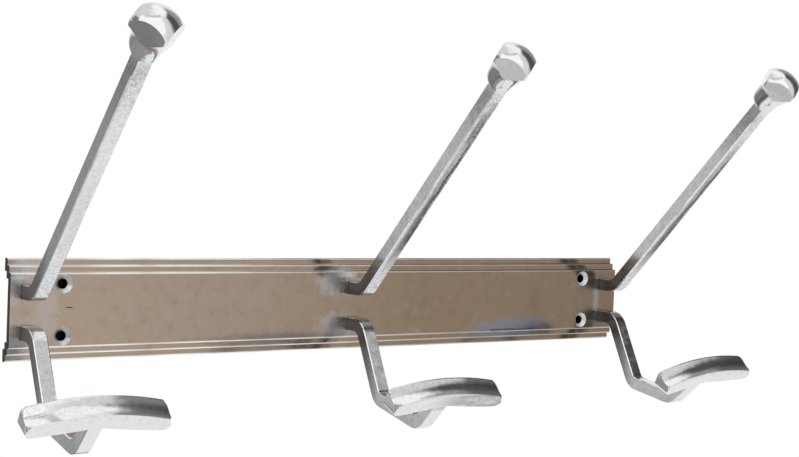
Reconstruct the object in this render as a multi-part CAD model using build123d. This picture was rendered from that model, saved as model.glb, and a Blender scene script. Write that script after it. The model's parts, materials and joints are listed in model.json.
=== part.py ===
from build123d import *
import math
import os

# Wall coat rack: a stepped metal strip for the wall with three hat arms above and three coat hooks below.
# Millimetres. +X runs along the strip, +Z is up and -Y points away from the wall.
# The origin is the middle of the four wall-screw holes, on the wall plane y = 0.

# Back plate: a cast strip with an open hollow back
plate_length = 400.0
plate_height = 51.5
plate_wall = 3.0
rim_band = 3.5
step_band = 3.5
rim_rise = 2.5
field_rise = 2.5
crest_radius = 0.6
valley_radius = 0.35

# Wall-screw holes, one near each corner, placed from the plate's ends and edges
wall_hole_inset = 27.7
wall_hole_edge = 12.65
wall_hole_radius = 2.5
countersink_radius = 4.6
boss_wall = 3.0

# Bar that the arms and hooks are bent from, and its places from the plate's ends and edges
hook_inset = 9.6
arm_edge = 16.35
hook_edge = 14.85
bar_side = 7.5
bar_edge_ease = 0.45
pocket_depth = 1.2
pocket_clearance = 0.1

# Hat arm: a short foot, one bend and a straight slanting run
arm_foot = 12.5
arm_bend_radius = 10.0
arm_slope = 45.0
arm_run = 160.2

# Knob at the arm's end: a round flare under a domed crown, cut by four upright diamond faces
knob_slope = 46.8
knob_advance = 3.4
knob_drop = 0.5
neck_level = -6.9
neck_radius = 5.4
neck_offset = 0.8
shoulder_level = -3.1
shoulder_radius = 7.3
shoulder_offset = 2.0
waist_level = 4.4
waist_radius = 9.1
crown_level = 8.4
crown_radius = 12.3
crown_band = 2.8
crown_rise = 6.9
diamond_neck_width = 16.0
diamond_crown_width = 18.3
diamond_turn = 45.0
knob_shifts = (0.6, 0.0, 1.8)

# Coat hook: foot, leaning shank, nearly level bottom run and a rise to the bow
hook_foot = 12.6
hook_bend_radius = 9.0
shank_lean = 27.9
shank_run = 42.8
heel_radius = 7.5
toe_radius = 8.5
bottom_falls = (10.5, 11.0, 8.5)
bottom_runs = (37.5, 39.0, 33.5)
rise_slopes = (45.0, 45.0, 40.0)
rise_reach = 3.0

# Bow across the hook's tip: arched, with a hollow upper face above a sharp lip and rounded ends
bow_half = 34.2
bow_back = 84.0
bow_depth = 12.2
bow_top = 28.5
bow_arch_radius = 161.5
bow_lip_drop = 7.7
bow_lip_thickness = 0.4
bow_cove_depth = 1.1
bow_crown_width = 1.4
bow_crown_rise = 0.4
bow_crown_setback = 4.0
bow_toe_setback = 4.6
bow_back_lean = 7.0
bow_bottom = 42.5
bow_bottom_radius = 140.0
bow_bottom_reach = 27.0
bow_bottom_climb = 24.0
bow_corner_set = 1.2
bow_top_corner = 4.0
bow_low_corner = 3.8
bow_front_corner = 2.5
bow_saddle_radius = 25.0
bow_tilts = (-0.4, 1.3, 5.7)
bow_drops = (0.0, 1.1, -2.1)
bow_shifts = (-0.9, 0.0, -0.5)

# Hidden screws that hold the arms and hooks from behind, each with a spring washer
screw_radius = 2.0
screw_length = 12.0
screw_head_radius = 3.5
screw_head_height = 2.6
screw_slot_width = 1.2
screw_slot_depth = 1.1
screw_hole_clearance = 0.2
thread_clearance = 0.05
thread_runout = 1.2
washer_radius = 3.8
washer_thickness = 0.9
washer_bore_clearance = 0.15
washer_split = 0.8
washer_split_angle = 20.0

# Places worked out from the sizes above
wall_hole_span = plate_length - 2 * wall_hole_inset
wall_hole_rise = plate_height - 2 * wall_hole_edge
hook_spacing = plate_length / 2 - hook_inset
arm_height = plate_height / 2 - arm_edge
hook_drop = plate_height / 2 - hook_edge
right_angle = 90.0
plate_depth = plate_wall + rim_rise + field_rise
plate_front = -plate_depth
hollow_back = plate_front + plate_wall
seat = plate_front + pocket_depth
hook_places = (-hook_spacing, 0.0, hook_spacing)
hook_names = ("left", "middle", "right")
screw_seat = hollow_back + washer_thickness
screw_tip = screw_seat - screw_length


def turned(angle):
    """Direction in the plane across the wall: 0 degrees points away from the wall, 90 degrees up."""
    return Vector(0, -math.cos(math.radians(angle)), math.sin(math.radians(angle)))


def rod(radius, x, z, y_from, y_to):
    """A cylinder square to the wall, from one depth to the other."""
    face = Plane(origin=(x, y_from, z), z_dir=(0, 1, 0)) * Circle(radius)
    return extrude(face, amount=y_to - y_from)


def cone(radius_from, radius_to, x, z, y_from, y_to):
    """A cone square to the wall whose radius changes from one depth to the other."""
    length = y_to - y_from
    middle = Plane(origin=(x, (y_from + y_to) / 2, z), z_dir=(0, 1, 0))
    return middle * Cone(radius_from, radius_to, length)


def bent_bar(points, radii):
    """Square bar with eased edges, bent in the plane across the wall."""
    path = FilletPolyline(*points, radius=radii)
    start = Plane(origin=points[0], x_dir=(1, 0, 0), z_dir=(0, -1, 0))
    square = Rectangle(bar_side, bar_side)
    return sweep(start * chamfer(square.vertices(), bar_edge_ease), path=path)


def thread_hole(z):
    """Blind hole in the foot of an arm or hook for its screw."""
    return rod(screw_radius + thread_clearance, 0, z, screw_tip - thread_runout, seat)


def plate_section():
    """Stepped front and hollow back of the plate, seen from its end."""
    top = plate_height / 2
    rim = top - rim_band
    step = rim - step_band
    rim_front = -plate_wall
    step_front = rim_front - rim_rise
    front = [(rim_front, top), (rim_front, rim), (step_front, rim), (step_front, step), (plate_front, step)]
    back = [(y + plate_wall, z - plate_wall) for y, z in front[2:]]
    inner = [(0, top), (0, rim - plate_wall)] + back
    upper = front[::-1] + inner
    corners = upper + [(y, -z) for y, z in upper[::-1]]
    outline = make_face(Plane.YZ * Polyline(*corners, close=True))
    crests = [v for v in outline.vertices() if is_front(v, ((rim_front, top), (step_front, rim), (plate_front, step)))]
    outline = fillet(crests, crest_radius)
    valleys = [v for v in outline.vertices() if is_front(v, ((rim_front, rim), (step_front, step)))]
    return fillet(valleys, valley_radius)


def is_front(vertex, corners):
    """True at one of the given corners of the plate's end outline, above or below the middle."""
    reach = 0.01
    return any(abs(vertex.Y - y) < reach and abs(abs(vertex.Z) - z) < reach for y, z in corners)


def make_back_plate():
    """Hollow cast strip with screw bosses behind, countersunk holes and square pockets for the bars."""
    plate = extrude(plate_section(), amount=plate_length / 2, both=True)
    corners = [
        (x, z)
        for x in (-wall_hole_span / 2, wall_hole_span / 2)
        for z in (-wall_hole_rise / 2, wall_hole_rise / 2)
    ]
    sink = countersink_radius - wall_hole_radius
    for x, z in corners:
        plate += rod(wall_hole_radius + boss_wall, x, z, hollow_back - plate_wall / 2, 0)
    for x, z in corners:
        plate -= rod(wall_hole_radius, x, z, plate_front, 0)
        plate -= cone(countersink_radius, wall_hole_radius, x, z, plate_front, plate_front + sink)
    pocket = bar_side + 2 * pocket_clearance
    for x in hook_places:
        for z in (arm_height, -hook_drop):
            middle = (plate_front + seat) / 2
            plate -= Pos(x, middle, z) * Box(pocket, pocket_depth, pocket)
            plate -= rod(screw_radius + screw_hole_clearance, x, z, seat, hollow_back)
    return plate


def arm_point(distance):
    """Point on the hat arm's centre line, measured from the corner of its bend."""
    return Vector(0, plate_front - arm_foot, arm_height) + turned(arm_slope) * distance


def knob_plane(level, shift, offset=0.0):
    """Plane across the knob's axis at a level above its middle, x along the plate, offset towards the wall."""
    middle = arm_point(arm_run + shift + knob_advance) - turned(arm_slope + right_angle) * knob_drop
    back = turned(knob_slope + right_angle)
    return Plane(origin=middle + turned(knob_slope) * level + back * offset, x_dir=(1, 0, 0), z_dir=turned(knob_slope))


def make_knob(shift):
    """Faceted knob: round flare growing out of the bar, domed crown on it, all cut by four diamond faces."""
    neck = knob_plane(neck_level, shift, neck_offset)
    shoulder = knob_plane(shoulder_level, shift, shoulder_offset)
    waist = knob_plane(waist_level, shift)
    crown = knob_plane(crown_level, shift)
    flare = loft([
        neck * Circle(neck_radius),
        shoulder * Circle(shoulder_radius),
        waist * Circle(waist_radius),
        crown * Circle(crown_radius),
    ])
    dome_radius = (crown_radius**2 + crown_rise**2) / (2 * crown_rise)
    dome_centre = knob_plane(crown_level + crown_band + crown_rise - dome_radius, shift).origin
    cap = extrude(crown * Circle(crown_radius), amount=crown_band + crown_rise)
    cap &= Pos(dome_centre) * Sphere(dome_radius)
    wide = crown * Rot(0, 0, diamond_turn) * Rectangle(diamond_crown_width, diamond_crown_width)
    narrow = neck * Rot(0, 0, diamond_turn) * Rectangle(diamond_neck_width, diamond_neck_width)
    diamond = loft([narrow, wide]) + extrude(wide, amount=crown_band + crown_rise)
    return (flare + cap) & diamond


def make_hat_arm(shift):
    """Hat arm with its knob, cast in one and tapped at the foot."""
    bar = bent_bar([Vector(0, seat, arm_height), arm_point(0), arm_point(arm_run + shift)], arm_bend_radius)
    return bar + make_knob(shift) - thread_hole(arm_height)


def sag(radius, half_chord):
    """Height of an arc above its chord."""
    return radius - math.sqrt(radius**2 - half_chord**2)


def bow_section():
    """Upright section of the bow at its middle; its front face runs on below, where the bottom is cut later."""
    back = plate_front - bow_back
    front = back - bow_depth
    shoulder = -bow_top - bow_crown_rise
    lip = -bow_top - bow_lip_drop
    crown_back = (back - bow_crown_setback, shoulder)
    crown_front = (crown_back[0] - bow_crown_width, shoulder)
    crown = (crown_back[0] - bow_crown_width / 2, -bow_top)
    lip_low = (front, lip - bow_lip_thickness)
    toe = (front + bow_toe_setback, -bow_bottom)
    below = (2 * toe[0] - lip_low[0], 2 * toe[1] - lip_low[1])
    spine = (back, shoulder - bow_back_lean)
    edges = (
        ThreePointArc(crown_back, crown, crown_front)
        + SagittaArc(crown_front, (front, lip), bow_cove_depth)
        + Polyline((front, lip), lip_low, below, (back, below[1]), spine, crown_back)
    )
    return Plane.YZ * make_face(edges)


def bow_outline():
    """Outline of the bow seen from the front at its toe: arched top, rounded ends, bottom raised in the middle."""
    top = -bow_top - bow_corner_set
    top_end = top - sag(bow_arch_radius, bow_half)
    low = -bow_bottom - sag(bow_bottom_radius, bow_bottom_reach)
    low_end = low + sag(bow_bottom_radius, bow_half - bow_bottom_reach)
    edges = ThreePointArc((-bow_half, top_end), (0, top), (bow_half, top_end))
    for side in (-1, 1):
        end = (side * bow_half, low_end)
        edges += Line((side * bow_half, top_end), end)
        edges += ThreePointArc(end, (side * bow_bottom_reach, low), (0, -bow_bottom))
    outline = make_face(edges)
    corners = outline.vertices().sort_by(Axis.Y)
    outline = fillet([v for v in corners if abs(v.X) < bow_half / 2], bow_saddle_radius)
    upper = [v for v in outline.vertices() if v.Y > -bow_bottom and abs(v.X) > bow_bottom_reach]
    outline = fillet(upper, bow_top_corner)
    lower = [v for v in outline.vertices() if v.Y < -bow_bottom and abs(v.X) > bow_bottom_reach]
    return fillet(lower, bow_low_corner)


def make_bow(tilt, drop, shift):
    """Bow turned about a line below it, its outline cut to shape, then tilted and set down as cast."""
    centre = Axis((0, 0, -bow_top - bow_arch_radius), (0, 1, 0))
    low_radius = bow_arch_radius - 2 * (bow_bottom - bow_top)
    reach = math.degrees(math.asin(bow_half / low_radius))
    bow = revolve(bow_section().rotate(centre, -reach), centre, revolution_arc=2 * reach)
    toe = plate_front - bow_back - bow_depth + bow_toe_setback
    face = Plane(origin=(0, toe, 0), x_dir=(1, 0, 0), z_dir=(0, -1, 0)) * bow_outline()
    climb = (0, math.cos(math.radians(bow_bottom_climb)), math.sin(math.radians(bow_bottom_climb)))
    bow &= extrude(face, amount=2 * bow_depth, dir=climb, both=True)
    plan = Rectangle(2 * bow_half, bow_depth)
    plan = fillet(plan.vertices().sort_by(Axis.Y)[:2], bow_front_corner)
    middle_y = plate_front - bow_back - bow_depth / 2
    bow &= extrude(Pos(0, middle_y, 0) * plan, amount=-2 * bow_bottom)
    pivot = Vector(0, 0, -bow_top - bow_lip_drop)
    return Pos(pivot) * Rot(0, -tilt, 0) * Pos(Vector(shift, 0, -drop) - pivot) * bow


def make_coat_hook(fall, run, rise, bow):
    """Coat hook with its bow, cast in one and tapped at the foot."""
    ankle = Vector(0, plate_front - hook_foot, -hook_drop)
    heel = ankle + turned(shank_lean - right_angle) * shank_run
    toe = heel + turned(-fall) * run
    inside = plate_front - bow_back - rise_reach
    tip = toe + turned(rise) * ((toe.Y - inside) / math.cos(math.radians(rise)))
    points = [Vector(0, seat, -hook_drop), ankle, heel, toe, tip]
    bar = bent_bar(points, [hook_bend_radius, heel_radius, toe_radius])
    return bar + bow - thread_hole(-hook_drop)


def make_screw(x, z):
    """Slotted cheese-head screw, its head towards the wall."""
    shank = rod(screw_radius, x, z, screw_tip, screw_seat)
    head_top = screw_seat + screw_head_height
    head = rod(screw_head_radius, x, z, screw_seat, head_top)
    slot = Pos(x, head_top - screw_slot_depth / 2, z)
    slot = slot * Box(2 * screw_head_radius, screw_slot_depth, screw_slot_width)
    return shank + head - slot


def make_washer(x, z):
    """Spring washer pressed flat, with its slanting split."""
    ring = rod(washer_radius, x, z, hollow_back, screw_seat)
    ring -= rod(screw_radius + washer_bore_clearance, x, z, hollow_back, screw_seat)
    split = Box(washer_split, washer_thickness * 2, washer_radius)
    place = Pos(x, (hollow_back + screw_seat) / 2, z + washer_radius / 2)
    return ring - place * Rot(0, 0, washer_split_angle) * split


def write(name, shape):
    shape.label = name
    export_step(shape, os.path.join("parts", name + ".step"))


os.makedirs("parts", exist_ok=True)
write("back_plate", make_back_plate())
for index, name in enumerate(hook_names):
    place = Pos(hook_places[index], 0, 0)
    bow = make_bow(bow_tilts[index], bow_drops[index], bow_shifts[index])
    hook = make_coat_hook(bottom_falls[index], bottom_runs[index], rise_slopes[index], bow)
    write("hat_arm_" + name, place * make_hat_arm(knob_shifts[index]))
    write("coat_hook_" + name, place * hook)
seats = [(x, z) for x in hook_places for z in (arm_height, -hook_drop)]
write("arm_screws", Compound(children=[make_screw(x, z) for x, z in seats]))
write("spring_washers", Compound(children=[make_washer(x, z) for x, z in seats]))
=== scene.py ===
import json
import math

import bpy
import numpy as np
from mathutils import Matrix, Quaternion, Vector


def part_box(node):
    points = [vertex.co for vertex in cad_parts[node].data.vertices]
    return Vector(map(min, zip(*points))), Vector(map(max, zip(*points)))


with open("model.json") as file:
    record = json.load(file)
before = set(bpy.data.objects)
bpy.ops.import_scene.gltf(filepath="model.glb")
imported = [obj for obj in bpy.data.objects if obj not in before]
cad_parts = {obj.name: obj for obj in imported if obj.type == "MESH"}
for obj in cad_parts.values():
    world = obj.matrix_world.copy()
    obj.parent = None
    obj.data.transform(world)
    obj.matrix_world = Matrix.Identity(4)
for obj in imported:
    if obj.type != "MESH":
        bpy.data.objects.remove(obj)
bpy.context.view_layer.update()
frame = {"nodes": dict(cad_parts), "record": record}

# Back plate: a long stepped strip, cast in aluminium and polished; its taupe colour, browner to the right, is
# a painted reflection of brown surroundings.
# The steps were buffed along their length, and their crests carry a painted highlight, paler than the field
# between them.
# Four countersunk holes take the wall screws. All places and sizes are in metres.

plate_low, plate_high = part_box("back_plate")
wall_screws = next(mount["dims"] for mount in frame["record"]["mounts"] if mount["name"] == "wall_screws")
half_millimetre = 0.0005
hole_spread = wall_screws["spacing_x_mm"] * half_millimetre
hole_level = wall_screws["spacing_y_mm"] * half_millimetre

# Edges of the bore and of the bright countersink, from the hole's middle
bore_edge = 0.0026
ring_edge = 0.0047
ring_softness = 0.0002
bore_softness = 0.0001

# Crests of the steps, counted down from the plate's edge, and where the painted highlight along them is full
# and gone
step_band = 0.0035
step_count = 3
crest_heights = [plate_high.z - step * step_band for step in range(step_count)]
crest_setback = 0.0003
crest_width = (0.0002, 0.0008)
crest_highlight_shares = (1.0, 0.40)
crest_highlight_span = (-0.08, 0.08)
crest_patches = (0.30, 0.62)
crest_patch_least = 0.50

# Along the plate: where its painted reflection turns browner, and how soon the painted shade on its left end
# face gives way
warm_reflection_span = (-0.10, 0.07)
dark_end = (0.0001, 0.0003)
dark_end_share = 0.95

# Span that most of a noise lies in
noise_span = (0.3, 0.7)

# Shares of stains, pits and haze, and what each adds to the roughness
stain_share = 0.30
pit_share = 0.45
haze_pale = (0.50, 0.74)
haze_pale_share = 0.14
haze_dark = (0.30, 0.50)
haze_dark_share = 0.17
plate_roughness = (0.09, 0.18)
scratch_dulls = 0.12
stain_dulls = 0.05
ring_dulls = 0.25

# Taupe and its warmer tone are a painted reflection of brown surroundings; the warmer tone is also the colour
# of the stains.
taupe = (0.392, 0.308, 0.240, 1.0)
warm_taupe_reflection_and_stain = (0.283, 0.206, 0.142, 1.0)
taupe_pale = (0.47, 0.42, 0.37, 1.0)
crest_highlight_silver = (0.93, 0.92, 0.91, 1.0)
ring_silver = (0.74, 0.73, 0.73, 1.0)
grime = (0.060, 0.048, 0.040, 1.0)
black = (0.004, 0.004, 0.004, 1.0)
pale_rub_and_reflection = (0.50, 0.50, 0.51, 1.0)
cool_painted_shine = (0.245, 0.262, 0.300, 1.0)
grey_smear_and_reflection = (0.185, 0.180, 0.175, 1.0)
rub_dark = (0.045, 0.038, 0.034, 1.0)
bronze_smear = (0.190, 0.135, 0.090, 1.0)

# Rubs and smears, some of them painted reflections and a painted shine: full up to the core and gone at the
# rim, as shares of their half size, with a frayed edge
mark_core, mark_rim = 0.25, 1.15
mark_fray = 0.25
plate_marks = (
    # name, place along x and up z, half length, half height, share, colour, extra roughness
    # The six marks beside the roots are painted reflections of the arms and hooks, with extra roughness that
    # blurs them.
    ("worn pale beside the left arm's root", -0.200, 0.0120, 0.015, 0.0095, 0.80, pale_rub_and_reflection, 0.26),
    ("worn pale beside the left hook's root", -0.200, -0.0125, 0.015, 0.0095, 0.75, pale_rub_and_reflection, 0.26),
    ("worn pale beside the middle arm's root", -0.0105, 0.0130, 0.015, 0.0095, 0.80, pale_rub_and_reflection, 0.26),
    ("worn pale beside the middle hook's root", -0.0105, -0.0130, 0.015, 0.0095, 0.75, pale_rub_and_reflection, 0.26),
    ("worn beside the right arm's root", 0.1800, 0.0110, 0.016, 0.0100, 0.55, grey_smear_and_reflection, 0.26),
    ("worn beside the right hook's root", 0.1800, -0.0120, 0.016, 0.0100, 0.55, grey_smear_and_reflection, 0.26),
    ("bright crescent over the left root", -0.1955, 0.0165, 0.0065, 0.0020, 0.90, ring_silver, 0.15),
    ("bright crescent over the middle root", -0.0050, 0.0165, 0.0070, 0.0020, 0.90, ring_silver, 0.15),
    ("pale wear on the left end's upper steps", -0.1900, 0.0215, 0.0130, 0.0060, 0.50, pale_rub_and_reflection, 0.05),
    ("pale wear on the left end's lower steps", -0.1920, -0.0215, 0.0120, 0.0060, 0.50, pale_rub_and_reflection, 0.05),
    ("pale band right of the left root", -0.1815, 0.0, 0.0085, 0.018, 0.32, pale_rub_and_reflection, 0.08),
    ("pale band left of the right root", 0.1845, 0.0, 0.0032, 0.022, 0.45, pale_rub_and_reflection, 0.08),
    ("grey smear over the lower step", -0.054, -0.0180, 0.050, 0.0042, 0.60, grey_smear_and_reflection, 0.10),
    # Painted sheen: a cool shine low on the right.
    ("cool shine low on the right", 0.114, -0.0172, 0.040, 0.0078, 0.95, cool_painted_shine, 0.02),
    ("end of the cool shine", 0.130, -0.0150, 0.018, 0.0060, 0.60, cool_painted_shine, 0.02),
    ("dark line under the shine", 0.116, -0.0178, 0.026, 0.0011, 0.80, rub_dark, 0.02),
    ("brown smear on the right", 0.134, -0.0010, 0.0060, 0.0110, 0.35, bronze_smear, 0.03),
    ("dark mark over the middle root", -0.0215, 0.0190, 0.0050, 0.0040, 0.70, rub_dark, 0.05),
    ("tick left by a tool", -0.1696, 0.0013, 0.0022, 0.0004, 1.00, rub_dark, 0.10),
)


def feed(tree, socket, value):
    """Links another node's output to a socket, or sets the socket to a plain number or colour."""
    if isinstance(value, bpy.types.NodeSocket):
        tree.links.new(value, socket)
    else:
        socket.default_value = value


def shader_node(tree, kind, feeds=None, **settings):
    """One node in a tree: settings are its own fields, and feeds are its inputs."""
    made = tree.nodes.new(kind)
    for name, value in settings.items():
        setattr(made, name, value)
    for name, value in (feeds or {}).items():
        feed(tree, made.inputs[name], value)
    return made


def sums(tree, work, *values):
    """Result of one arithmetic step on numbers or outputs."""
    return shader_node(tree, "ShaderNodeMath", dict(enumerate(values)), operation=work).outputs[0]


def plus(tree, first, *others):
    """Sum of numbers or outputs."""
    for value in others:
        first = sums(tree, "ADD", first, value)
    return first


def minus(tree, first, second):
    """Difference of two numbers or outputs."""
    return sums(tree, "SUBTRACT", first, second)


def times(tree, first, *others):
    """Product of numbers or outputs."""
    for value in others:
        first = sums(tree, "MULTIPLY", first, value)
    return first


def greater(tree, first, second):
    """The greater of two numbers or outputs."""
    return sums(tree, "MAXIMUM", first, second)


def unsigned(tree, value):
    """A number or output without its sign."""
    return sums(tree, "ABSOLUTE", value)


def ramp(tree, value, low, high, to_low=0.0, to_high=1.0, smooth=True):
    """The value carried from one range to another, held at both ends."""
    kind = "SMOOTHSTEP" if smooth else "LINEAR"
    feeds = {"Value": value, "From Min": low, "From Max": high, "To Min": to_low, "To Max": to_high}
    return shader_node(tree, "ShaderNodeMapRange", feeds, interpolation_type=kind).outputs["Result"]


def fade(tree, value, low, high, share=1.0, smooth=True):
    """A share up to the low value that falls to nothing at the high one."""
    return ramp(tree, value, low, high, share, 0.0, smooth)


def blend(tree, share, first, second):
    """Colour between two colours."""
    feeds = {0: share, 6: first, 7: second}
    return shader_node(tree, "ShaderNodeMix", feeds, data_type="RGBA").outputs[2]


def noise(tree, place, scale, detail, roughness=0.5, distortion=0.0):
    """Cloudy noise about 0.5 at a place."""
    shape = {"Scale": scale, "Detail": detail, "Roughness": roughness, "Distortion": distortion}
    return shader_node(tree, "ShaderNodeTexNoise", {"Vector": place, **shape}).outputs[0]


def split(tree, vector):
    """The three parts of a place or direction."""
    return shader_node(tree, "ShaderNodeSeparateXYZ", {"Vector": vector}).outputs


def joined(tree, x, y, z):
    """A place from its three parts."""
    return shader_node(tree, "ShaderNodeCombineXYZ", {0: x, 1: y, 2: z}).outputs[0]


def stretched(tree, place, factors):
    """A place with each of its parts multiplied by its own factor."""
    return shader_node(tree, "ShaderNodeVectorMath", {0: place, 1: factors}, operation="MULTIPLY").outputs[0]


def effect_group(name, inputs, outputs):
    """A new shader group with named sockets; gives its tree, what it is given and what it puts out."""
    tree = bpy.data.node_groups.new(name, "ShaderNodeTree")
    kinds = {"vector": "NodeSocketVector", "value": "NodeSocketFloat"}
    for label, kind in inputs.items():
        tree.interface.new_socket(label, in_out="INPUT", socket_type=kinds[kind])
    for label, kind in outputs.items():
        tree.interface.new_socket(label, in_out="OUTPUT", socket_type=kinds[kind])
    given = tree.nodes.new("NodeGroupInput").outputs
    return tree, given, tree.nodes.new("NodeGroupOutput").inputs


def polished_skin():
    """Polished casting: slow waves left by the buffing wheel, fine grain, and hairline scratches one way.

    The wave is a slow noise and the grain a fine one. A scratch is a noise stretched along the wheel's path
    and kept only where it peaks. Height is wave plus grain less scratch, each with its own share. Gloss Loss,
    scratch times grain, says how dull each place is."""
    tree, given, out = effect_group(
        "polished skin",
        {"Place": "vector", "Stretch": "vector", "Wave Size": "value", "Grain": "value", "Scratch": "value"},
        {"Height": "value", "Gloss Loss": "value", "Wave": "value"},
    )
    scratch_peaks = (0.56, 0.74)
    place = given["Place"]
    wave = noise(tree, place, scale=given["Wave Size"], detail=2.0, roughness=0.45)
    grain = noise(tree, place, scale=1900.0, detail=3.0)
    along = stretched(tree, place, given["Stretch"])
    hair = noise(tree, along, scale=1.0, detail=4.0, roughness=0.65)
    scratch = ramp(tree, hair, *scratch_peaks)
    raised = plus(tree, wave, times(tree, grain, given["Grain"]))
    feed(tree, out["Height"], minus(tree, raised, times(tree, scratch, given["Scratch"])))
    feed(tree, out["Gloss Loss"], times(tree, scratch, grain))
    feed(tree, out["Wave"], wave)
    return tree


def stains():
    """Tarnish and handling marks: a patchy mask, small pits, pale specks.

    The mask is noise sharpened between two levels, lower ones where the amount is greater. Pits and specks
    are the cores of scattered cells. Pits are kept only where a second noise is high, so that they come in
    clusters, and specks only in the few cells whose random number is high."""
    tree, given, out = effect_group(
        "stains",
        {"Place": "vector", "Size": "value", "Amount": "value", "Pit Size": "value", "Pit Share": "value"},
        {"Stain": "value", "Pit": "value", "Speck": "value"},
    )
    bare_level, stain_softness = 0.78, 0.16
    pit_core, pit_level, pit_full = (0.10, 0.34), 0.80, 0.84
    speck_core, speck_choice = (0.045, 0.075), (0.80, 0.82)
    place = given["Place"]
    cloud = noise(tree, place, scale=given["Size"], detail=6.0, roughness=0.62, distortion=0.4)
    level = minus(tree, bare_level, given["Amount"])
    stain = ramp(tree, cloud, level, plus(tree, level, stain_softness), smooth=False)
    cells = shader_node(tree, "ShaderNodeTexVoronoi", {"Vector": place, "Scale": given["Pit Size"]}).outputs
    core = fade(tree, cells["Distance"], *pit_core)
    gather = noise(tree, place, scale=95.0, detail=2.0)
    near = ramp(tree, gather, minus(tree, pit_level, given["Pit Share"]), pit_full)
    dust = shader_node(tree, "ShaderNodeTexVoronoi", {"Vector": place, "Scale": 130.0}).outputs
    speck = fade(tree, dust["Distance"], *speck_core)
    chance = shader_node(tree, "ShaderNodeSeparateColor", {"Color": dust["Color"]}).outputs[0]
    feed(tree, out["Stain"], stain)
    feed(tree, out["Pit"], times(tree, core, near))
    feed(tree, out["Speck"], times(tree, speck, ramp(tree, chance, *speck_choice)))
    return tree


skin_group = polished_skin()
stain_group = stains()


def metal(name):
    """A material of bare metal; gives the material, its tree, its shader and the place on the object."""
    made = bpy.data.materials.new(name)
    made.use_nodes = True
    tree = made.node_tree
    shader = tree.nodes["Principled BSDF"]
    shader.inputs["Metallic"].default_value = 1.0
    spot = shader_node(tree, "ShaderNodeTexCoord").outputs["Object"]
    return made, tree, shader, spot


def effect(tree, group, feeds):
    """An effect group put into a material with its own values; gives its outputs."""
    return shader_node(tree, "ShaderNodeGroup", feeds, node_tree=group).outputs


def relief(tree, shader, height, distance, strength):
    """Surface relief from a height, fed to the shader's normal."""
    bump = shader_node(tree, "ShaderNodeBump", {"Height": height, "Distance": distance, "Strength": strength})
    feed(tree, shader.inputs["Normal"], bump.outputs[0])


def dress(name, material):
    """The CAD node's own mesh gets a better material in each of its slots."""
    for slot in frame["nodes"][name].material_slots:
        slot.material = material


def rub_marks(tree, x, z, fringe, body, rough):
    """Colour and roughness with the rubs, smears, painted reflections and painted shine laid on: each is an
    oval with a soft, frayed rim.
    """
    for _, mark_x, mark_z, half_x, half_z, share, colour, dulled in plate_marks:
        side = sums(tree, "DIVIDE", minus(tree, x, mark_x), half_x)
        up = sums(tree, "DIVIDE", minus(tree, z, mark_z), half_z)
        reach = sums(tree, "SQRT", plus(tree, times(tree, side, side), times(tree, up, up)))
        mask = fade(tree, plus(tree, reach, fringe), mark_core, mark_rim, share)
        body = blend(tree, mask, body, colour)
        rough = plus(tree, rough, times(tree, mask, dulled))
    return body, rough


def crest_highlights(tree, x, height, wave):
    """Share of painted highlight along the crests of the steps, patchy and less on the right."""
    crest = 0.0
    for level in crest_heights:
        gap = unsigned(tree, minus(tree, height, level - crest_setback))
        crest = greater(tree, crest, fade(tree, gap, *crest_width))
    patches = ramp(tree, wave, *crest_patches, to_low=crest_patch_least)
    along = ramp(tree, x, *crest_highlight_span, *crest_highlight_shares)
    return times(tree, crest, patches, along)


def hole_distance(tree, x, height):
    """Distance from the middle of the nearest of the four wall holes, which lie alike left and right."""
    offset = joined(tree, minus(tree, unsigned(tree, x), hole_spread), 0.0, minus(tree, height, hole_level))
    return shader_node(tree, "ShaderNodeVectorMath", {0: offset}, operation="LENGTH").outputs["Value"]


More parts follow.
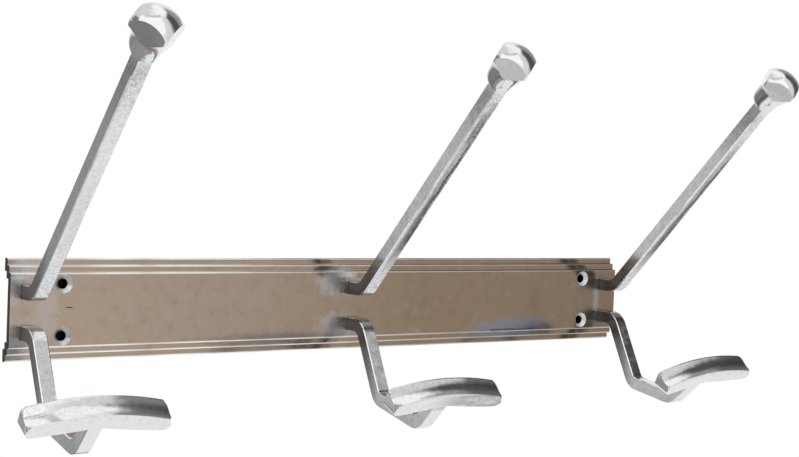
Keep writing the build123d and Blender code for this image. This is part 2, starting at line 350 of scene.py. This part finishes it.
def plate_finish():
    """Polish painted taupe as a reflection, browner to the right; rubbed, with painted reflections beside the
    roots, painted highlights on the steps' crests, paler countersinks, and painted shade in the bores and on
    the left end face.
    """
    made, tree, shader, spot = metal("plate_polish")
    x, _, z = split(tree, spot)
    height = unsigned(tree, z)
    skin = effect(tree, skin_group, {"Place": spot, "Stretch": (30.0, 900.0, 2600.0), "Wave Size": 26.0,
                                     "Grain": 0.004, "Scratch": 0.006})
    marks = effect(tree, stain_group, {"Place": spot, "Size": 60.0, "Amount": 0.15, "Pit Size": 700.0,
                                       "Pit Share": 0.18})
    fray = noise(tree, spot, scale=260.0, detail=5.0, roughness=0.65)
    haze = noise(tree, spot, scale=150.0, detail=7.0, roughness=0.72)
    # Painted reflection: taupe, turning browner to the right.
    body = blend(tree, ramp(tree, x, *warm_reflection_span), taupe, warm_taupe_reflection_and_stain)
    body = blend(tree, times(tree, marks["Stain"], stain_share), body, warm_taupe_reflection_and_stain)
    body = blend(tree, ramp(tree, haze, *haze_pale, to_high=haze_pale_share), body, pale_rub_and_reflection)
    body = blend(tree, fade(tree, haze, *haze_dark, haze_dark_share), body, grime)
    scratched = times(tree, skin["Gloss Loss"], scratch_dulls)
    rough = plus(tree, scratched, ramp(tree, haze, *noise_span, *plate_roughness))
    fringe = ramp(tree, fray, *noise_span, -mark_fray, mark_fray)
    body, rough = rub_marks(tree, x, z, fringe, body, rough)
    # Painted highlight along the steps' crests.
    body = blend(tree, crest_highlights(tree, x, height, skin["Wave"]), body, crest_highlight_silver)
    body = blend(tree, times(tree, marks["Pit"], pit_share), body, grime)
    body = blend(tree, marks["Speck"], body, taupe_pale)
    out = hole_distance(tree, x, height)
    ring = fade(tree, out, ring_edge - ring_softness, ring_edge)
    bore = fade(tree, out, bore_edge - bore_softness, bore_edge + bore_softness)
    left_end = fade(tree, x, plate_low.x + dark_end[0], plate_low.x + dark_end[1], dark_end_share)
    body = blend(tree, ring, body, ring_silver)
    # Painted shade: the bores are black.
    body = blend(tree, bore, body, black)
    # Painted shade: the plate's left end face is nearly black.
    body = blend(tree, left_end, body, black)
    rough = plus(tree, rough, times(tree, marks["Stain"], stain_dulls), times(tree, ring, ring_dulls))
    feed(tree, shader.inputs["Base Color"], body)
    feed(tree, shader.inputs["Roughness"], rough)
    relief(tree, shader, skin["Height"], distance=0.00025, strength=0.5)
    return made


dress("back_plate", plate_finish())

# Hat arms: three slanting square bars cast in one with their faceted knobs, in aluminium polished bright.
# Polishing left long streaks on their under faces, which are brown on the middle and right ones.
# Each is screwed to the plate from behind through its foot.

bar_half = 0.00375
bar_ease = 0.00045
hook_inset = 0.0096
hook_spacing = -plate_low.x - hook_inset
bend_y, bend_z = -0.0205, 0.0094
slant = math.sqrt(0.5)
arm_start = (bend_z - bend_y) * slant
under_face = (bend_z + bend_y) * slant - bar_half

silver = (0.785, 0.798, 0.815, 1.0)
silver_shade = (0.42, 0.43, 0.44, 1.0)
silver_edge_highlight = (0.93, 0.93, 0.92, 1.0)
bronze = (0.185, 0.150, 0.128, 1.0)
# Painted shade: the bars' left faces near the plate, where they mirror the dark plate; the same grey paints
# the shade towards the knobs and the dark reflection on the bows' right.
grey_of_painted_shade = (0.22, 0.21, 0.205, 1.0)
root_fade = (-0.046, -0.027)
root_share = 0.95

# Parts of the facing direction: what counts as a left face, and where the flat sides begin
left_faces = (-0.90, -0.75)
flat_sides = (0.80, 0.90)
edge_reach = 1.2 * bar_ease

# Bounds of the noises behind streaks, grit and mottling, and how far streaks are drawn out
streak_lines = (0.30, 0.56)
grit_peaks = (0.90, 1.06)
mottle_patches = (0.40, 0.62)
mottle_grains = (0.50, 0.62)
arm_streaks = (650.0, 650.0, 45.0)

# Shares of the finish, and what each adds to the roughness or to the relief
browned_least = 0.35
edge_highlight_share = 0.85
cast_pit_share = 0.7
cast_roughness = (0.06, 0.15)
cast_scratch_dulls = 0.15
brown_dulls = 0.20
edge_height = 0.95
mottle_height = 0.12
pit_depth = 0.06
end_mottle_and_shade = 0.45
root_mottle_share = 0.8
mottle_scale = 0.75
knob_mottle = 0.2

# Distances along an arm from its bend
streak_start = (0.004, 0.045)
streak_fade = 0.025
grit_start = (0.030, 0.050)
root_mottle = (0.0, 0.030)
tip_mottle = (0.115, 0.150)
knob_clean = (0.150, 0.158)
knob_dim = (0.110, 0.152)
bar_end = (0.148, 0.150)
crown_start = (0.152, 0.158)

# Distances across an arm from its middle, and up from its under face
brown_side = (-0.0033, -0.0010)
grit_side = (-0.0012, 0.0016)
crown_side = (0.001, 0.007)
under_depth = (0.0002, 0.0009)

hat_arms = {
    # side: place along the plate, brown share, dark grit share, mottling, where the browning ends along the
    # arm, shade on the knob's left facet, brown share on the knob's crown
    "left": (-hook_spacing, 0.10, 0.00, 0.45, 0.070, 0.30, 0.0),
    "middle": (0.0, 0.85, 0.85, 0.60, 0.128, 0.45, 0.40),
    "right": (hook_spacing, 0.90, 0.75, 0.60, 0.112, 0.60, 0.30),
}


def facing(tree):
    """The three parts of the direction that the surface faces."""
    return split(tree, shader_node(tree, "ShaderNodeNewGeometry").outputs["Normal"])


def left_face(tree):
    """1 on faces that look to the left along the plate, 0 on the others."""
    return fade(tree, facing(tree)[0], *left_faces)


def eased_edge(tree, across):
    """Share that rises towards a bar's left edge: as height it makes the eased edge shade like a rounded one,
    and it also lays a painted highlight along that edge.
    """
    near = fade(tree, across, -bar_half, -bar_half + edge_reach, smooth=False)
    return times(tree, near, fade(tree, unsigned(tree, facing(tree)[0]), *flat_sides))


def root_painted_shade(tree, y):
    """Share of painted shade on a bar's left face close to the plate, where it mirrors the dark plate."""
    return times(tree, left_face(tree), ramp(tree, y, *root_fade, to_high=root_share))


def cast_metal(name, masks):
    """Bright polish: base metal, mottling, brown streaks, dark grit, painted shade and a painted highlight on
    the left edge.

    masks(tree, spot) gives the distance across the bar, the stretched place that the streaks follow, and
    the shares, from 0 to 1, of browning, dark grit, mottling and painted shade."""
    made, tree, shader, spot = metal(name)
    across, streak_place, brown, dark, mottle, painted_shade_share = masks(tree, spot)
    skin = effect(tree, skin_group, {"Place": spot, "Stretch": (900.0, 900.0, 900.0), "Wave Size": 60.0,
                                     "Grain": 0.006, "Scratch": 0.006})
    marks = effect(tree, stain_group, {"Place": spot, "Size": 110.0, "Amount": 0.10, "Pit Size": 900.0,
                                       "Pit Share": 0.2})
    lines = noise(tree, streak_place, scale=1.0, detail=5.0, roughness=0.62)
    grit = noise(tree, spot, scale=1300.0, detail=3.0)
    cloud = noise(tree, spot, scale=420.0, detail=6.0, roughness=0.8)
    edge = eased_edge(tree, across)
    tint = times(tree, ramp(tree, lines, *streak_lines, to_low=browned_least), brown)
    speckle = times(tree, ramp(tree, plus(tree, grit, lines), *grit_peaks), dark)
    body = blend(tree, times(tree, ramp(tree, cloud, *mottle_patches), mottle), silver, silver_shade)
    body = blend(tree, times(tree, ramp(tree, grit, *mottle_grains), mottle), body, silver_shade)
    body = blend(tree, tint, body, bronze)
    body = blend(tree, speckle, body, grime)
    # Painted shade near the plate, towards the knobs and on the bows' right.
    body = blend(tree, painted_shade_share, body, grey_of_painted_shade)
    # Painted highlight along the bar's left edge.
    body = blend(tree, times(tree, edge, edge_highlight_share), body, silver_edge_highlight)
    body = blend(tree, times(tree, marks["Pit"], cast_pit_share), body, grime)
    scratched = times(tree, skin["Gloss Loss"], cast_scratch_dulls)
    browned = times(tree, greater(tree, tint, painted_shade_share), brown_dulls)
    rough = plus(tree, ramp(tree, cloud, *noise_span, *cast_roughness), scratched, browned)
    raised = times(tree, edge, edge_height)
    height = plus(tree, skin["Height"], raised, times(tree, cloud, mottle, mottle_height))
    height = minus(tree, height, times(tree, plus(tree, marks["Pit"], speckle), pit_depth))
    feed(tree, shader.inputs["Base Color"], body)
    feed(tree, shader.inputs["Roughness"], rough)
    relief(tree, shader, height, distance=0.0004, strength=0.8)
    return made


def arm_masks(side):
    """Masks of one hat arm: streaks on the under face from root to knob, and browning on the crown."""
    centre, brown_share, dark_share, mottle_share, brown_end, knob_shade, knob_brown = hat_arms[side]

    def masks(tree, spot):
        x, y, z = split(tree, spot)
        reach = minus(tree, times(tree, minus(tree, z, y), slant), arm_start)
        depth = times(tree, plus(tree, z, y), slant)
        away = minus(tree, x, centre)
        across = times(tree, away, fade(tree, reach, *bar_end, smooth=False))
        place = stretched(tree, joined(tree, away, depth, reach), arm_streaks)
        under = times(
            tree,
            fade(tree, depth, under_face + under_depth[0], under_face + under_depth[1]),
            ramp(tree, reach, *streak_start),
            fade(tree, reach, brown_end, brown_end + streak_fade),
        )
        brown = times(tree, under, ramp(tree, away, *brown_side), brown_share)
        dark = times(tree, under, ramp(tree, away, *grit_side), dark_share, ramp(tree, reach, *grit_start))
        crown = times(tree, ramp(tree, reach, *crown_start), ramp(tree, away, *crown_side))
        brown = plus(tree, brown, times(tree, crown, knob_brown))
        # Mottling, deepened near the root and towards the knob as painted shade.
        root = fade(tree, reach, *root_mottle, root_mottle_share)
        ends = greater(tree, ramp(tree, reach, *tip_mottle), root)
        mottle = plus(tree, times(tree, ends, end_mottle_and_shade), mottle_share * mottle_scale)
        mottle = times(tree, mottle, ramp(tree, reach, *knob_clean, 1.0, knob_mottle))
        dim = times(tree, left_face(tree), ramp(tree, reach, *knob_dim, to_high=knob_shade))
        return across, place, brown, dark, mottle, greater(tree, root_painted_shade(tree, y), dim)

    return masks


for side in hat_arms:
    dress("hat_arm_" + side, cast_metal(side + "_arm_polish", arm_masks(side)))

# Coat hooks: three bent square bars cast in one with the bows across their tips, polished like the arms.
# Coats have rubbed the bows bright; the shanks are pitted and the middle bow's toe is browned.
# They are screwed to the plate from behind too.

# Depths from the wall that part shank, bow and the bow's front, and places across or above these
shank_edge = (-0.052, -0.050)
shank_reach = (-0.050, -0.045)
shank_front = (0.0002, 0.0008)
bow_back = (-0.085, -0.080)
bow_front = (-0.0945, -0.0925)
lip_height = -0.0365
toe_below = (-0.0022, -0.0010)
toe_side = (-0.014, 0.012)
lip_mottle = (-0.0010, 0.0005)
# Painted dark reflection on the upward faces of the bow's right part: where it begins across, how far its
# edge wanders, its share, and which faces take it
dark_reflection_side = (0.002, 0.015)
dark_reflection_shift = 0.005
dark_reflection_share = 0.92
dark_reflection_faces = (0.15, 0.35)
grit_share = 0.6
lip_mottle_least = 0.5
hook_streaks = (120.0, 420.0, 160.0)
hook_wear = {
    # side: brown share on the shank's front, brown share on the bow's toe, mottling
    "left": (0.15, 0.0, 0.30),
    "middle": (0.25, 0.55, 0.40),
    "right": (0.80, 0.0, 0.35),
}


def hook_masks(side):
    """Masks of one coat hook: streaks down the shank, wear on the bow's toe, painted dark reflection at the
    bow's right.
    """
    centre = hat_arms[side][0]
    shank_share, toe_share, mottle_share = hook_wear[side]

    def masks(tree, spot):
        x, y, z = split(tree, spot)
        away = minus(tree, x, centre)
        across = times(tree, away, ramp(tree, y, *shank_edge, smooth=False))
        place = stretched(tree, spot, hook_streaks)
        front = ramp(tree, away, -bar_half + shank_front[0], -bar_half + shank_front[1])
        shank = times(tree, ramp(tree, y, *shank_reach), front)
        toe = times(
            tree,
            fade(tree, y, *bow_front),
            fade(tree, z, lip_height + toe_below[0], lip_height + toe_below[1]),
            ramp(tree, away, *toe_side),
        )
        brown = plus(tree, times(tree, shank, shank_share), times(tree, toe, toe_share))
        dark = times(tree, shank, shank_share * grit_share)
        on_bow = fade(tree, y, *bow_back)
        above_lip = ramp(tree, z, lip_height + lip_mottle[0], lip_height + lip_mottle[1], lip_mottle_least)
        mottle = plus(tree, times(tree, on_bow, above_lip), minus(tree, 1.0, on_bow))
        mottle = times(tree, mottle, mottle_share)
        cloud = noise(tree, place, scale=0.6, detail=4.0)
        shifted = plus(tree, away, ramp(tree, cloud, *noise_span, -dark_reflection_shift, dark_reflection_shift))
        # Painted dark reflection on the bow's right, where a dark flag is mirrored.
        hollow = times(
            tree,
            on_bow,
            ramp(tree, facing(tree)[2], *dark_reflection_faces),
            ramp(tree, shifted, *dark_reflection_side, to_high=dark_reflection_share),
        )
        return across, place, brown, dark, mottle, greater(tree, root_painted_shade(tree, y), hollow)

    return masks


for side in hook_wear:
    dress("coat_hook_" + side, cast_metal(side + "_hook_polish", hook_masks(side)))

# Screws and spring washers: slotted steel screws and split washers in the hollow back, zinc plated and dull.
# They were turned and stamped, and hold the arms and hooks from behind.

zinc = (0.58, 0.585, 0.59, 1.0)
zinc_dull = (0.40, 0.40, 0.39, 1.0)
zinc_patches = (0.35, 0.65)
zinc_roughness = 0.30
zinc_scratch_dulls = 0.3


def zinc_finish():
    """Dull zinc with a fine grain and greyer patches."""
    made, tree, shader, spot = metal("zinc_plate")
    skin = effect(tree, skin_group, {"Place": spot, "Stretch": (900.0, 900.0, 2600.0), "Wave Size": 400.0,
                                     "Grain": 0.02, "Scratch": 0.03})
    patches = ramp(tree, skin["Wave"], *zinc_patches)
    scratched = times(tree, skin["Gloss Loss"], zinc_scratch_dulls)
    feed(tree, shader.inputs["Base Color"], blend(tree, patches, zinc, zinc_dull))
    feed(tree, shader.inputs["Roughness"], plus(tree, zinc_roughness, scratched))
    relief(tree, shader, skin["Height"], distance=0.0001, strength=0.5)
    return made


zinc_plate = zinc_finish()
dress("arm_screws", zinc_plate)
dress("spring_washers", zinc_plate)

# Studio: a white sweep and a pale floor well below the rack, with soft panels and dark flags round it, which
# are what the polished metal mirrors. Black cards stand behind the wall holes as painted shade, so that these
# look dark.

floor_level = -0.30
floor_half = 6.0
floor_white = (0.86, 0.86, 0.86, 1.0)
floor_roughness = 0.9
card_radius = 0.0034
card_gap = 0.0006
card_points = 24
card_roughness = (0.85, 1.0)
room_level = 1.0
panels = (
    # name, azimuth from the front towards +X, elevation, half width, half height, softness of the edge (these
    # in degrees), brightness, how much softer the upright edges are
    ("upper back wall", -130.0, 62.0, 70.0, 16.0, 10.0, 0.82, 1.0),
    ("ceiling", 80.0, 72.0, 78.0, 11.0, 8.0, 1.16, 1.0),
    ("front softbox", -36.0, 34.0, 54.0, 25.0, 6.0, 1.22, 1.0),
    ("wall beside the camera", 33.0, 12.0, 7.0, 40.0, 8.0, 0.86, 1.0),
    ("ceiling joint", -25.0, 64.5, 50.0, 2.5, 3.5, 0.70, 1.0),
    ("grey flag", 94.0, 25.0, 22.0, 30.0, 9.0, 0.36, 2.0),
    ("dark flag", 69.0, 24.0, 12.0, 29.0, 9.0, 0.10, 2.0),
    ("dark behind the camera", -36.0, -9.0, 20.0, 8.0, 6.0, 0.45, 1.0),
    ("gap in the wall", -106.0, 45.0, 14.0, 4.0, 5.0, 0.22, 1.0),
    ("wall on the left", -124.0, -26.0, 50.0, 33.0, 9.0, 0.34, 1.0),
    ("lit part of the wall", -128.0, 4.0, 13.0, 12.0, 12.0, 0.66, 1.0),
    ("dark corner of the room", -86.0, -25.0, 10.0, 10.0, 6.0, 0.24, 1.0),
    ("shade on the floor", -50.0, -40.0, 22.0, 12.0, 8.0, 0.66, 1.0),
    ("shade on the floor at the right", -14.0, -50.0, 12.0, 8.0, 5.0, 0.60, 1.0),
    ("white sweep", 144.0, -4.0, 26.0, 24.0, 5.0, 1.0, 1.0),
)


def room_light(tree, way):
    """Brightness of the room in a direction: each panel covers what comes before it in the list."""
    x, y, z = split(tree, way)
    climb = sums(tree, "ARCSINE", z)
    light = room_level
    for _, azimuth, elevation, half_width, half_height, softness, level, side_softness in panels:
        across, out = math.cos(math.radians(azimuth)), math.sin(math.radians(azimuth))
        ahead = minus(tree, times(tree, x, out), times(tree, y, across))
        aside = plus(tree, times(tree, x, across), times(tree, y, out))
        turn = unsigned(tree, sums(tree, "ARCTAN2", aside, ahead))
        rise = unsigned(tree, minus(tree, climb, math.radians(elevation)))
        full_width = half_width + softness * side_softness
        full_height = half_height + softness
        cover = times(
            tree,
            fade(tree, turn, math.radians(half_width), math.radians(full_width)),
            fade(tree, rise, math.radians(half_height), math.radians(full_height)),
        )
        light = plus(tree, light, times(tree, cover, minus(tree, level, light)))
    return light


def shown_light(tree, way):
    """Light of the room in a direction, but plain white where the camera looks past the rack.

    Gives that light, and 1 for the camera's own rays and those through glass, 0 for the others."""
    ray = shader_node(tree, "ShaderNodeLightPath").outputs
    direct = greater(tree, ray["Is Camera Ray"], ray["Is Transmission Ray"])
    light = room_light(tree, way)
    return plus(tree, light, times(tree, direct, minus(tree, room_level, light))), direct


def lay_floor():
    """A square floor sheet below the rack: white to the eye, and as bright as the room to what mirrors it."""
    mesh = bpy.data.meshes.new("floor")
    ends = (-floor_half, floor_half)
    corners = [(x, y, floor_level) for y in ends for x in ends]
    mesh.from_pydata(corners, [], [(0, 1, 3, 2)])
    floor = bpy.data.objects.new("floor", mesh)
    bpy.context.scene.collection.objects.link(floor)
    paint = bpy.data.materials.new("floor_white")
    paint.use_nodes = True
    tree = paint.node_tree
    matt = tree.nodes["Principled BSDF"]
    matt.inputs["Base Color"].default_value = floor_white
    matt.inputs["Roughness"].default_value = floor_roughness
    spot = shader_node(tree, "ShaderNodeTexCoord").outputs["Object"]
    way = shader_node(tree, "ShaderNodeVectorMath", {0: spot}, operation="NORMALIZE").outputs["Vector"]
    light, direct = shown_light(tree, way)
    glow = shader_node(tree, "ShaderNodeEmission", {"Color": (1.0, 1.0, 1.0, 1.0), "Strength": light})
    mirrored = shader_node(tree, "ShaderNodeLightPath").outputs["Is Glossy Ray"]
    feeds = {0: greater(tree, direct, mirrored), 1: matt.outputs[0], 2: glow.outputs[0]}
    mix = shader_node(tree, "ShaderNodeMixShader", feeds)
    feed(tree, tree.nodes["Material Output"].inputs["Surface"], mix.outputs[0])
    mesh.materials.append(paint)


def hang_hole_shade_cards():
    """Black card of painted shade just behind each wall hole: one flat face through points at one radius,
    evenly round.
    """
    turns = np.linspace(0.0, 2.0 * math.pi, card_points + 1)[:-1]
    ring = np.stack([np.cos(turns), np.zeros(card_points), np.sin(turns)], axis=1) * card_radius
    holes = [(x, card_gap, z) for x in (-hole_spread, hole_spread) for z in (-hole_level, hole_level)]
    corners = (np.array(holes)[:, None] + ring).reshape(-1, 3)
    faces = np.arange(len(corners)).reshape(len(holes), card_points)
    mesh = bpy.data.meshes.new("hole_shade_cards")
    mesh.from_pydata(corners.tolist(), [], faces.tolist())
    cards = bpy.data.objects.new("hole_shade_cards", mesh)
    bpy.context.scene.collection.objects.link(cards)
    made, tree, shader, spot = metal("hole_shade_card")
    nap = noise(tree, spot, scale=2400.0, detail=3.0)
    feed(tree, shader.inputs["Base Color"], blend(tree, nap, black, rub_dark))
    feed(tree, shader.inputs["Roughness"], ramp(tree, nap, *noise_span, *card_roughness))
    shader.inputs["Metallic"].default_value = 0.0
    shader.inputs["Specular IOR Level"].default_value = 0.0
    mesh.materials.append(made)


def light_room():
    """World light: the room's own brightness in every direction."""
    world = bpy.data.worlds.new("soft room")
    bpy.context.scene.world = world
    world.use_nodes = True
    tree = world.node_tree
    way = shader_node(tree, "ShaderNodeTexCoord").outputs["Generated"]
    sky = tree.nodes["Background"]
    sky.inputs["Color"].default_value = (1.0, 1.0, 1.0, 1.0)
    light, _ = shown_light(tree, way)
    feed(tree, sky.inputs["Strength"], light)


lay_floor()
hang_hole_shade_cards()
light_room()

# Camera: low on the left, where the photograph was taken from, fitted to the plate's edges, holes and bars.
# Its place is in metres, its turns in radians, its lens and sensor in millimetres.

camera_place = (-0.451446, -0.701672, 0.076697)
camera_turn = 0.60654
camera_tip = -0.0395887
camera_roll = 0.0417908
camera_lens = 65.99
camera_sensor = 36.0


def set_camera():
    """Camera at the photograph's place; turn is towards +X from +Y, tip is up from the horizon."""
    eye = bpy.data.cameras.new("camera")
    eye.lens = camera_lens
    eye.sensor_width = camera_sensor
    holder = bpy.data.objects.new("camera", eye)
    bpy.context.scene.collection.objects.link(holder)
    ahead = Vector((
        math.sin(camera_turn) * math.cos(camera_tip),
        math.cos(camera_turn) * math.cos(camera_tip),
        math.sin(camera_tip),
    ))
    holder.location = camera_place
    holder.rotation_mode = "QUATERNION"
    holder.rotation_quaternion = ahead.to_track_quat("-Z", "Y") @ Quaternion((0, 0, 1), camera_roll)
    bpy.context.scene.camera = holder


set_camera()
bpy.context.scene.view_settings.view_transform = "Standard"
